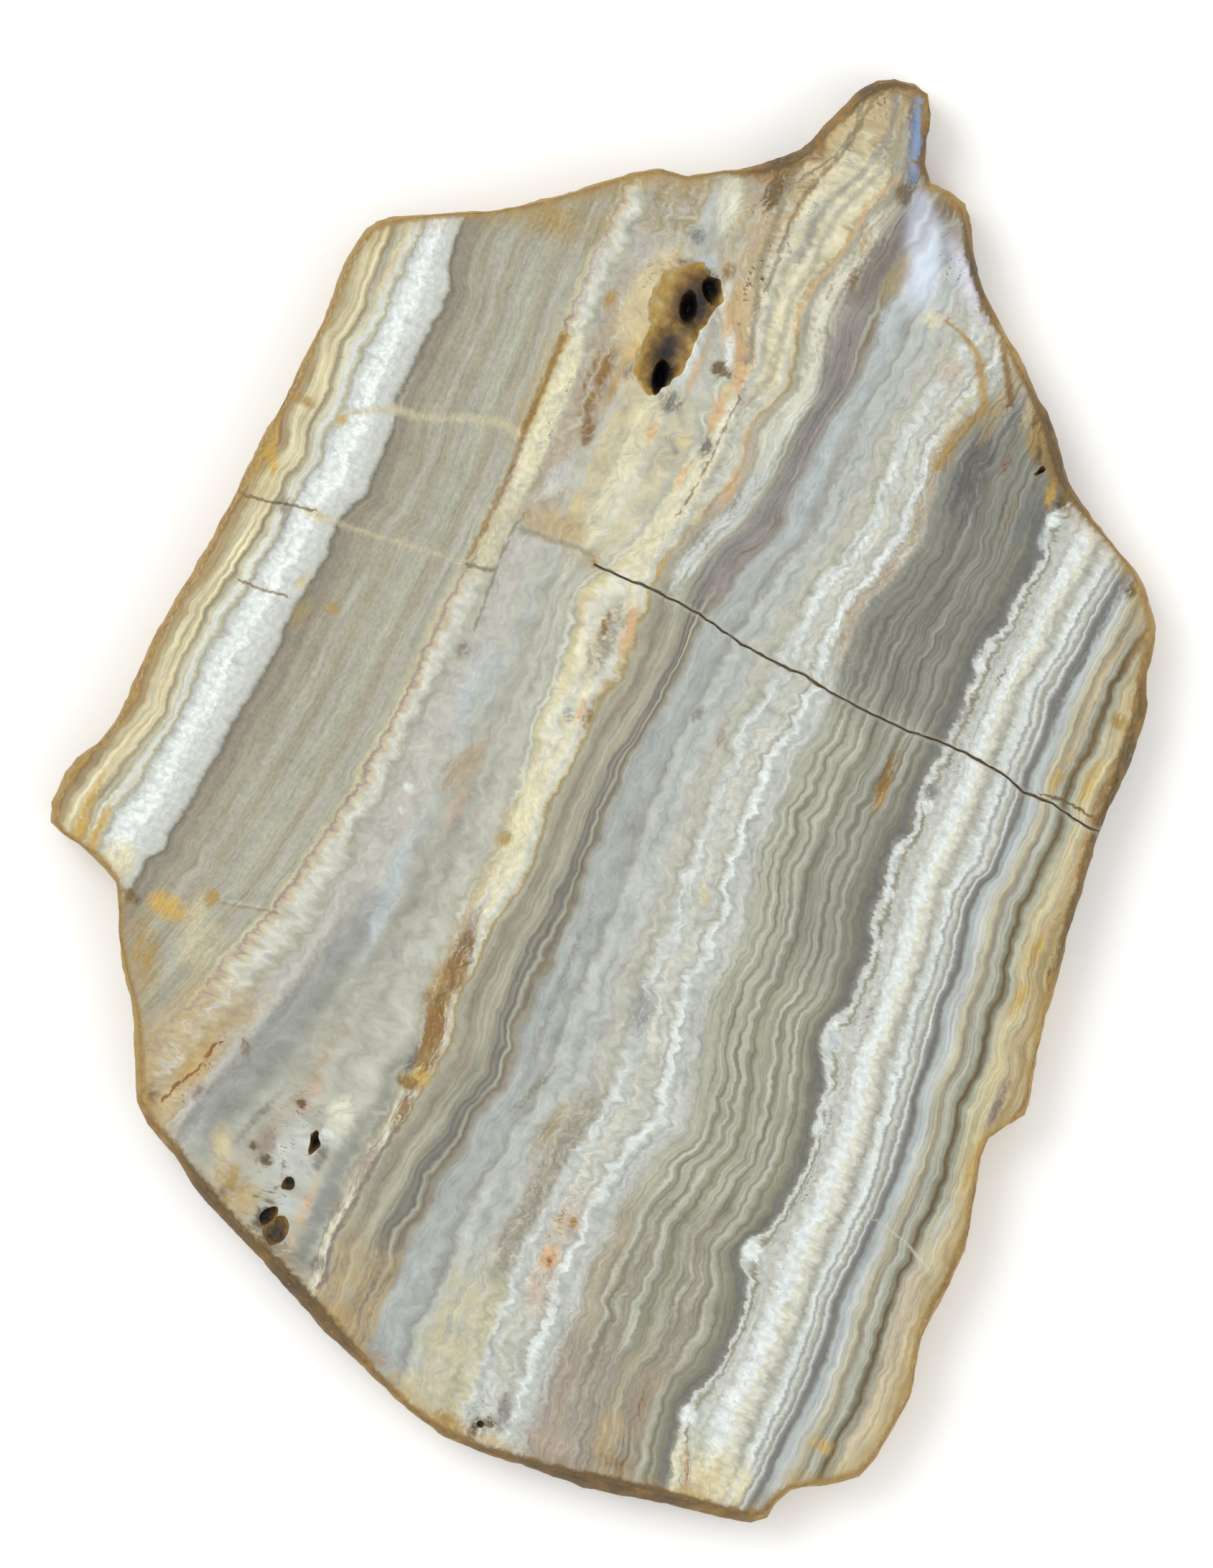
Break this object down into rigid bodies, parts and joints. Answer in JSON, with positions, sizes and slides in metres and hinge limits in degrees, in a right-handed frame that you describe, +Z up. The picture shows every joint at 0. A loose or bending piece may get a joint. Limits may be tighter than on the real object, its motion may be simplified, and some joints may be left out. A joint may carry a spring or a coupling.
{
  "type": "petrified wood slice",
  "caption": "Thin slice of petrified wood, flat on both faces, with a natural irregular rind, a hollow, small pits and a healed fracture.",
  "frame": {"origin": "centre of the footprint's box, on the sawn lower face", "axes": "+Z up, out of the polished face; +Y along the slice's length, towards its narrow tip; +X across it"},
  "size_m": [0.1394, 0.182, 0.008],
  "materials": {
    "petrified_wood": "polished upper face, natural rind, sawn lower face"
  },
  "bodies": {
    "root": {"slab": "petrified_wood"}
  },
  "joints": []
}
